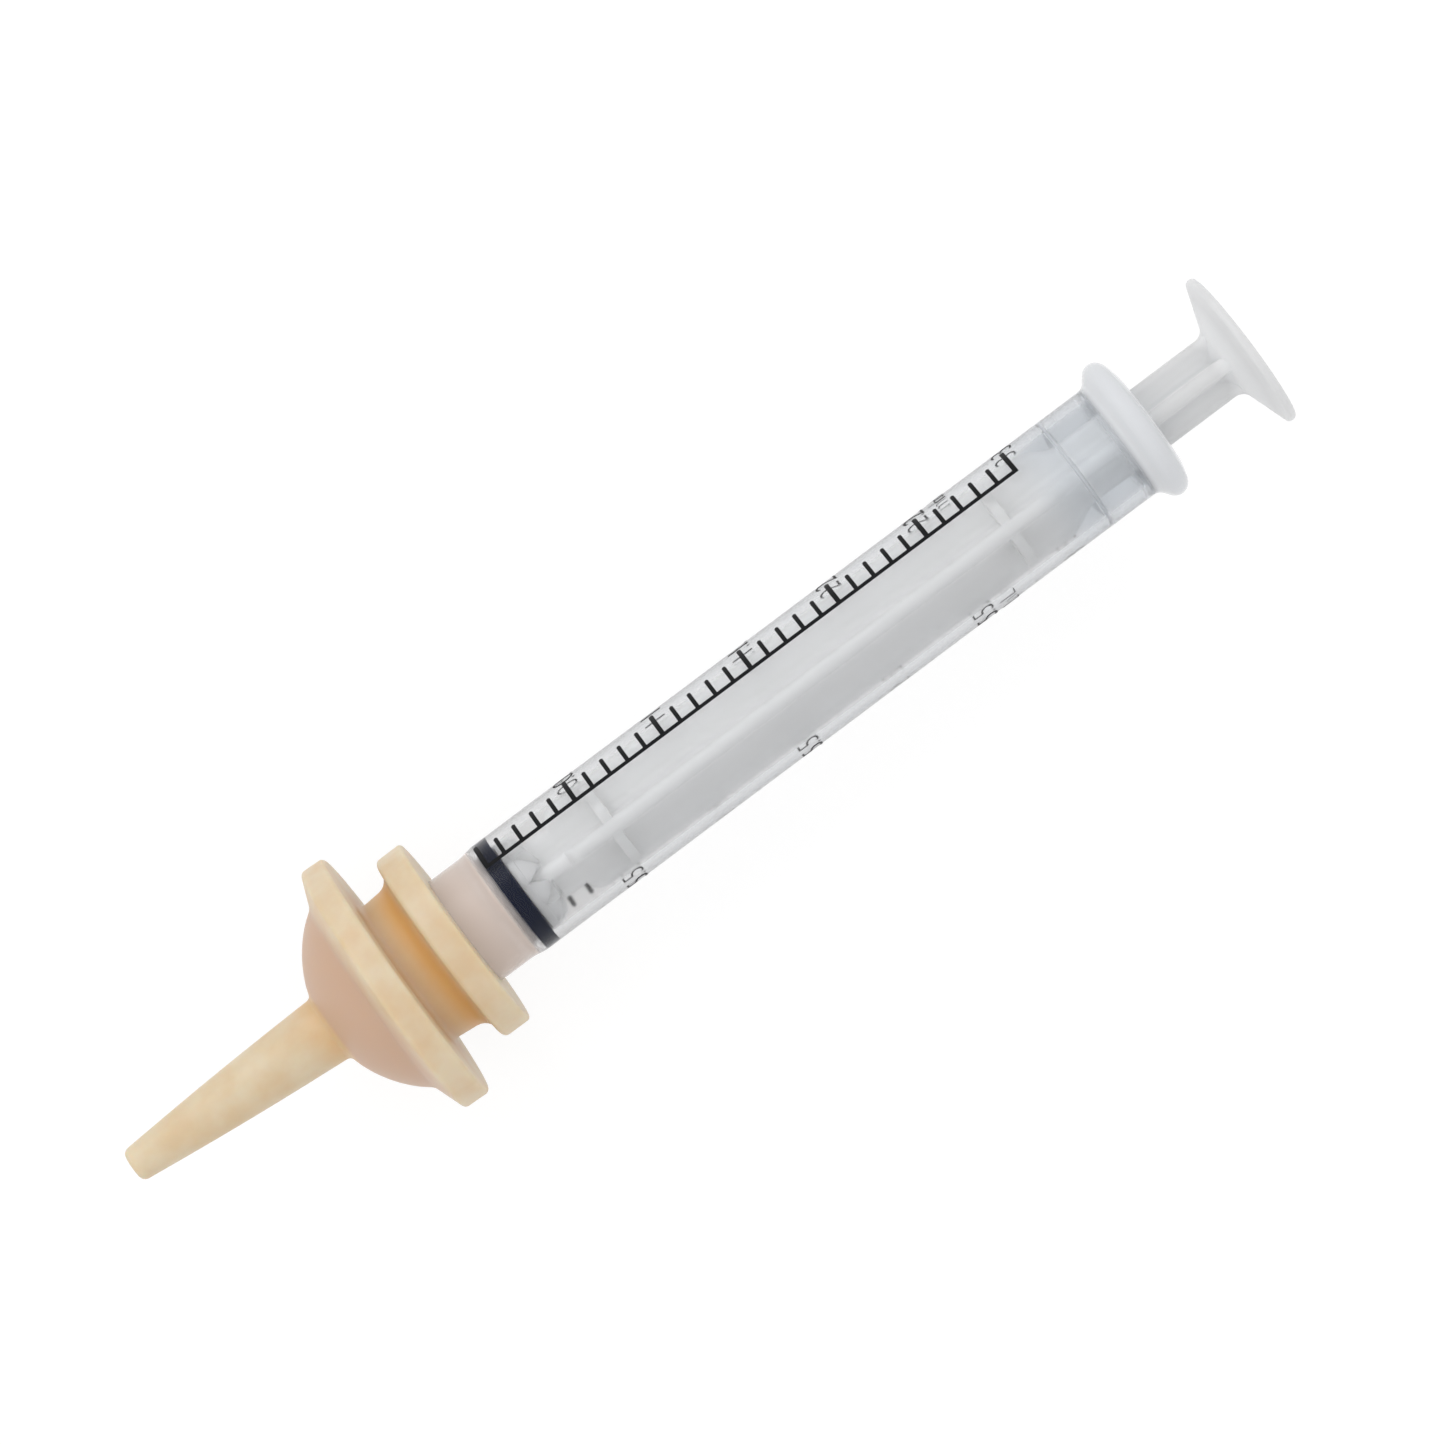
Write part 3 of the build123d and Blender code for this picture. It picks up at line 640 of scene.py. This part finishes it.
# closed profile turned about the axis: discs and groove as eased corners, the dome a sphere
# centred on the axis, the teat a cone with a slight sine bulge, then the hollow inside; the
# whole leans a little, y += lean * (distance in front of leanPivot), as soft rubber does
def buildNipple(material):
    s = nippleSizes
    neckBack = nippleBackX - s["backDisc"]
    neckFront = neckBack - s["neck"]
    discFront = neckFront - s["frontDisc"]
    shoulderX = discFront - s["shoulder"]
    shoulderEnd = shoulderX - s["shoulderEnd"]
    rootX = discFront - s["dome"]
    domeX = rootX + math.sqrt(s["domeRadius"] ** 2 - s["teatRootRadius"] ** 2)
    domeEnd = rootX + s["rootBlend"]
    domeAt = lambda x: math.sqrt(s["domeRadius"] ** 2 - (x - domeX) ** 2)
    back = easedLine([
        (nippleBackX, s["socketRadius"], 0), (nippleBackX, s["backDiscRadius"], s["backRounds"][0]),
        (neckBack, s["backDiscRadius"], s["backRounds"][1]),
        (neckBack, s["neckRadius"] + s["neckFlare"], s["neckRounds"][0]),
        (neckFront, s["neckRadius"], s["neckRounds"][1]),
        (neckFront, s["frontDiscRadius"], s["frontRounds"][0]),
        (discFront, s["frontDiscRadius"], s["frontRounds"][1]),
        (shoulderX, domeAt(shoulderX), s["shoulderRound"]), (shoulderEnd, domeAt(shoulderEnd), 0),
    ])
    slopes = [math.asin((domeX - x) / s["domeRadius"]) for x in (shoulderEnd, domeEnd)]
    slope = np.linspace(*slopes, s["domePoints"])
    dome = np.stack([domeX - s["domeRadius"] * np.sin(slope), s["domeRadius"] * np.cos(slope)], axis=-1)
    u = np.linspace(0, 1, s["teatPoints"])[:, None]
    teatX = rootX + (tipX - rootX) * u
    teatR = s["teatRootRadius"] + (s["teatTipRadius"] - s["teatRootRadius"]) * u
    teatR = teatR + s["teatBulge"] * np.sin(np.pi * u)
    teat = np.hstack([teatX, teatR])[1:-2]
    root = easedLine([
        tuple(dome[-1]) + (0,), (rootX, s["teatRootRadius"] + s["rootSwell"], s["rootRound"]),
        tuple(teat[0]) + (0,),
    ])
    inner = s["domeRadius"] - s["wall"]
    holeEnd = tipX + s["feedHole"]
    tip = easedLine([
        tuple(teat[-1]) + (0,), (tipX, s["teatTipRadius"], s["teatRound"]),
        (tipX, s["feedHoleRadius"], s["holeRounds"][0]), (holeEnd, s["feedHoleRadius"], s["holeRounds"][1]),
        (holeEnd, s["channelTipRadius"], s["holeRounds"][2]),
        (domeX - math.sqrt(inner**2 - s["channelRadius"] ** 2), s["channelRadius"], 0),
    ])
    slopes = [math.acos(radius / inner) for radius in (s["channelRadius"], s["cavityRadius"])]
    slope = np.linspace(*slopes, s["hollowPoints"])
    hollow = np.stack([domeX - inner * np.sin(slope), inner * np.cos(slope)], axis=-1)
    cavityBackX = nippleBackX - s["cavityBack"]
    socket = easedLine([
        tuple(hollow[-1]) + (0,), (cavityBackX, s["cavityRadius"], s["cavityRounds"][0]),
        (cavityBackX, s["socketRadius"], s["cavityRounds"][1]), (nippleBackX, s["socketRadius"], 0),
    ])
    outside = np.concatenate([back, dome[1:], root[1:], teat[1:], tip[1:]])
    profile = np.concatenate([outside, hollow[1:], socket[1:-1]])
    profile = filledLine(profile, s["ringStep"])
    points = turnProfile(profile, s["columns"])
    ahead = np.clip((nippleBackX - s["leanFrom"] - points[..., 0]) / s["leanRun"], 0, None)
    bend = math.radians(s["lean"]) * np.minimum(ahead, 1) ** 2
    x, y = points[..., 0].copy(), points[..., 1].copy()
    points[..., 0] = x + bend * y
    points[..., 1] = y - bend * (x - (nippleBackX - s["leanPivot"]))
    piece = gridObject("nippleLatex", points, material, loop=True, sharp=50)

    # pink, and painted shade in pink and ochre in the groove, for the two maps that the material reads
    x, y, z = meshPoints(piece.data).T
    radial = np.hypot(y, z)
    fade = lambda value, low, high: 1 - smoothStep(value, low, high)
    pink = fade(x, discFront - s["pinkRun"], discFront) * smoothStep(radial, *s["pinkRadii"])
    # painted shade: pink on the groove's front wall
    wall = s["wallShade"] * fade(x, neckFront + s["wallRun"][0], neckFront + s["wallRun"][1])
    wall *= (x > neckFront + s["wallStart"]) * fade(radial, *s["wallRadii"])
    # painted shade: ochre down in the groove, least at its front
    ochre = fade(x, neckBack + s["grooveRear"][0], neckBack + s["grooveRear"][1])
    ochre *= (x > neckFront + s["grooveStart"]) * fade(radial, *s["grooveRadii"])
    grade = smoothStep(x, neckFront + s["grooveFront"][0], neckFront + s["grooveFront"][1])
    ochre *= s["grooveLeast"] + (1 - s["grooveLeast"]) * grade
    onRoot = np.exp(-((x - rootX - s["rootMiddle"]) / s["rootSpread"]) ** 2) * fade(radial, *s["rootRadii"])
    setAttribute(piece.data, "tone", np.maximum(pink, wall), ochre + s["rootOchre"] * onRoot)
    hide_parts("feeding_nipple")
    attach(piece, "nipple")
    print("nipple:", len(profile), "rings")


scaleSizes = {  # mm and degrees; angles run from the bare front (+Z) towards +Y
    "length": 52.87, "steps": 30, "stepsPerNumber": 5, "second": 180,
    "lineWidth": 0.35, "tickWidth": 0.37, "longTickWidth": 0.42, "penTip": 0.25,
    "lineAngle": 36.9, "shortTickAngle": 62, "longTickAngle": 72, "labelAngle": 67,
    "digitHeight": 2.18, "unitHeight": 1.8, "unitPlace": 2.34, "letterWidth": 1.1, "letterThin": 0.05,
    "digitShare": 0.729,  # how much of its size the built-in font's digits fill
    "film": 0.02, "sink": 0.012,
    # how finely it is drawn
    "acrossStep": 0.15, "alongStep": 2, "strip": 0.2, "curveSteps": 6, "weld": 0.0005, "onCut": 0.0001,
}


# bends a flat mark round the barrel: angle = across / radius, so widths stay true
def wrapMark(x, across, lift):
    radius = barrelSizes["outerRadius"] + lift
    angle = across / barrelSizes["outerRadius"]
    return np.stack([x, radius * np.sin(angle), radius * np.cos(angle)], axis=-1)


# top and base of a thin film from one angle to another, its far end rounded like a pen stroke
def inkBar(x0, x1, angle0, angle1, roundEnd):
    s = scaleSizes
    across0, across1 = (math.radians(a) * barrelSizes["outerRadius"] for a in (angle0, angle1))
    steps = max(int((across1 - across0) / s["acrossStep"]), 2)
    across = np.linspace(across0, across1, steps + 1)
    half = (x1 - x0) / 2
    width = np.full_like(across, half)
    if roundEnd:
        fromEnd = np.minimum(across1 - across, half)
        width = np.sqrt(np.maximum(half**2 - (half - fromEnd) ** 2, (s["penTip"] * half) ** 2))
    share = np.linspace(-1, 1, max(int((x1 - x0) / s["alongStep"]), 1) + 1)
    x = (x0 + x1) / 2 + share[:, None] * width
    top = wrapMark(x, np.broadcast_to(across, x.shape), s["film"])
    base = wrapMark(x, np.broadcast_to(across, x.shape), -s["sink"])
    return top, base


# quads of a closed film: the top grid, the same grid below it turned over, and the rim
def filmFaces(rows, cols, start):
    index = np.arange(rows * cols).reshape(rows, cols)
    tops = np.stack([index[:-1, :-1], index[1:, :-1], index[1:, 1:], index[:-1, 1:]], axis=-1).reshape(-1, 4)
    bases = tops[:, [0, 3, 2, 1]] + rows * cols
    rim = np.concatenate([index[0], index[1:, -1], index[-1, -2::-1], index[-2:0:-1, 0]])
    lower = rim + rows * cols
    sides = np.stack([rim, np.roll(rim, -1), np.roll(lower, -1), lower], axis=-1)
    return np.concatenate([tops, bases, sides]) + start


# a word set flat, cut into strips, bent round the barrel and given its thickness
def inkWord(word, middleX, startAngle, height, ink):
    s = scaleSizes
    curve = bpy.data.curves.new("word", "FONT")
    curve.body = word
    curve.size = height / s["digitShare"]
    curve.offset = -s["letterThin"]
    curve.resolution_u = s["curveSteps"]
    holder = bpy.data.objects.new("word", curve)
    flat = bpy.data.meshes.new_from_object(holder)
    bpy.data.objects.remove(holder)
    sheet = bmesh.new()
    sheet.from_mesh(flat)
    bpy.data.meshes.remove(flat)
    bmesh.ops.remove_doubles(sheet, verts=sheet.verts, dist=s["weld"])
    right = max(v.co.x for v in sheet.verts)
    for cut in np.arange(s["strip"], right, s["strip"]):
        geometry = sheet.verts[:] + sheet.edges[:] + sheet.faces[:]
        bmesh.ops.bisect_plane(
            sheet, geom=geometry, plane_co=(cut, 0, 0), plane_no=(1, 0, 0), dist=s["onCut"],
        )
    solid = bmesh.ops.extrude_face_region(sheet, geom=sheet.faces[:])
    lifted = [item for item in solid["geom"] if isinstance(item, bmesh.types.BMVert)]
    bmesh.ops.translate(sheet, verts=lifted, vec=(0, 0, 1))
    mesh = bpy.data.meshes.new("word")
    bmesh.ops.recalc_face_normals(sheet, faces=sheet.faces)
    sheet.to_mesh(mesh)
    sheet.free()
    place = np.empty(len(mesh.vertices) * 3)
    mesh.vertices.foreach_get("co", place)
    place = place.reshape(-1, 3)
    # letters stand with their tops towards the nozzle and read towards growing angles
    x = middleX + height / 2 - place[:, 1]
    across = math.radians(startAngle) * barrelSizes["outerRadius"] + place[:, 0] * s["letterWidth"]
    lift = np.where(place[:, 2] > 0.5, s["film"], -s["sink"])
    mesh.vertices.foreach_set("co", (wrapMark(x, across, lift) * mm).ravel())
    mesh.materials.append(ink)
    return mesh


# two like scales on opposite sides: a long line, a tick each step, a number each fifth step
def buildScale(ink):
    s = scaleSizes
    points, faces, words = [], [], []
    pitch = s["length"] / s["steps"]
    first, last = zeroLineX - s["longTickWidth"] / 2, zeroLineX + s["length"] + s["longTickWidth"] / 2
    lineHalf = math.degrees(s["lineWidth"] / 2 / barrelSizes["outerRadius"])
    for side in (0, s["second"]):
        bars = [(first, last, s["lineAngle"] - lineHalf + side, s["lineAngle"] + lineHalf + side, False)]
        for step in range(s["steps"] + 1):
            isLong = step % s["stepsPerNumber"] == 0
            half = (s["longTickWidth"] if isLong else s["tickWidth"]) / 2
            end = s["longTickAngle"] if isLong else s["shortTickAngle"]
            x = zeroLineX + step * pitch
            bars.append((x - half, x + half, s["lineAngle"] + side, end + side, True))
            if isLong and step:
                label = f"{step / 10:g}"
                words.append(inkWord(label, x, s["labelAngle"] + side, s["digitHeight"], ink))
            if step == s["steps"] - s["stepsPerNumber"]:
                words.append(inkWord("mL", x + s["unitPlace"], s["labelAngle"] + side, s["unitHeight"], ink))
        for bar in bars:
            top, base = inkBar(*bar)
            start = sum(len(p) for p in points)
            faces.append(filmFaces(*top.shape[:2], start))
            points += [top.reshape(-1, 3), base.reshape(-1, 3)]
    mesh = bpy.data.meshes.new("printedScale")
    mesh.from_pydata(np.concatenate(points) * mm, [], np.concatenate(faces).tolist())
    piece = bpy.data.objects.new("printedScale", mesh)
    bpy.context.scene.collection.objects.link(piece)
    shell = bmesh.new()
    shell.from_mesh(mesh)
    for word in words:
        shell.from_mesh(word)
        bpy.data.meshes.remove(word)
    bmesh.ops.recalc_face_normals(shell, faces=shell.faces)
    shell.to_mesh(mesh)
    shell.free()
    mesh.materials.append(ink)
    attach(piece, "barrel")
    print("scale: 2 of", s["steps"], "steps,", len(words), "words")


studio = {  # mm, aim from the zero line; roll in degrees; the floor's shade and glow, plain and through glass
    "aim": (21.985, 1.02), "distance": 570.0, "frameWidth": 116.6, "roll": 36.853, "sensor": 36,
    "floorSize": 2000.0, "floorShade": (0.24, 0.82), "floorGlow": (0.82, 0.08), "roomLight": 0.88,
    "keyPlace": (-100, 500, 470), "keySize": 420, "keyPower": 0.78,
}


# 1 for rays from the camera, in gloss and through glass
def seenRays(tree):
    paths = addNode(tree, "ShaderNodeLightPath")
    both = addNode(tree, "ShaderNodeMath", {"operation": "ADD"}, {
        0: paths.outputs["Is Camera Ray"], 1: paths.outputs["Is Glossy Ray"],
    })
    seen = addNode(tree, "ShaderNodeMath", {"operation": "ADD", "use_clamp": True}, {
        0: both.outputs[0], 1: paths.outputs["Is Transmission Ray"],
    })
    return seen.outputs[0]


def buildStudio():
    s = studio
    scene = bpy.context.scene
    floorZ = nippleBox[0][2]
    mesh = bpy.data.meshes.new("floor")
    w = s["floorSize"] / 2
    corners = np.array([(-w, -w, floorZ), (w, -w, floorZ), (w, w, floorZ), (-w, w, floorZ)]) * mm
    mesh.from_pydata(corners, [], [(0, 1, 2, 3)])
    floor = bpy.data.objects.new("floor", mesh)
    scene.collection.objects.link(floor)
    # white paper; the eye, gloss and glass see it near full white with a faint shadow, and
    # through the barrel the shadow is deeper; scattered light sees plain paper
    material, tree, output = newMaterial("white_paper_sweep")
    paths = addNode(tree, "ShaderNodeLightPath")
    shade, glow = (addNode(tree, "ShaderNodeMapRange", sockets={
        "Value": paths.outputs["Is Transmission Ray"], "To Min": plain, "To Max": throughGlass,
    }) for plain, throughGlass in (s["floorShade"], s["floorGlow"]))
    paper = addNode(tree, "ShaderNodeBsdfDiffuse", sockets={"Color": colour("#E4E4E4")})
    shadow = addNode(tree, "ShaderNodeBsdfDiffuse", sockets={"Color": shade.outputs[0]})
    white = addNode(tree, "ShaderNodeEmission", sockets={"Color": (1, 1, 1, 1), "Strength": glow.outputs[0]})
    bright = addNode(tree, "ShaderNodeAddShader", sockets={0: shadow.outputs[0], 1: white.outputs[0]})
    mixed = addNode(tree, "ShaderNodeMixShader", sockets={
        0: seenRays(tree), 1: paper.outputs[0], 2: bright.outputs[0],
    })
    tree.links.new(mixed.outputs[0], output.inputs["Surface"])
    mesh.materials.append(material)

    world = bpy.data.worlds.new("softRoom")
    scene.world = world
    world.use_nodes = True
    tree = world.node_tree
    tree.nodes.clear()
    lit, shown = (addNode(tree, "ShaderNodeBackground", sockets={
        "Color": (1, 1, 1, 1), "Strength": strength,
    }) for strength in (s["roomLight"], 1.0))
    mixed = addNode(tree, "ShaderNodeMixShader", sockets={
        0: seenRays(tree), 1: lit.outputs[0], 2: shown.outputs[0],
    })
    addNode(tree, "ShaderNodeOutputWorld", sockets={"Surface": mixed.outputs[0]})

    light = bpy.data.lights.new("keyLight", "AREA")
    light.size = s["keySize"] * mm
    light.energy = s["keyPower"]
    holder = bpy.data.objects.new("keyLight", light)
    scene.collection.objects.link(holder)
    holder.location = [v * mm for v in s["keyPlace"]]
    holder.rotation_euler = (-holder.location).to_track_quat("-Z", "Y").to_euler()

    camera = bpy.data.cameras.new("camera")
    camera.sensor_width = s["sensor"]
    camera.lens = s["sensor"] * s["distance"] / s["frameWidth"]
    camera.clip_start, camera.clip_end = 0.01, 10
    holder = bpy.data.objects.new("camera", camera)
    scene.collection.objects.link(holder)
    holder.location = ((zeroLineX + s["aim"][0]) * mm, s["aim"][1] * mm, s["distance"] * mm)
    holder.rotation_euler = (0, 0, -math.radians(s["roll"]))
    scene.camera = holder
    scene.view_settings.view_transform = "Standard"
    print("studio ready")


clear, milky, nitrile = clearPolypropylene(), milkyPolypropylene(), blackNitrile()
latex, ink = creamLatex(), blackInk()
buildBarrel(clear)
buildRing(nitrile)
buildPlunger(milky)
buildNipple(latex)
buildScale(ink)
buildStudio()
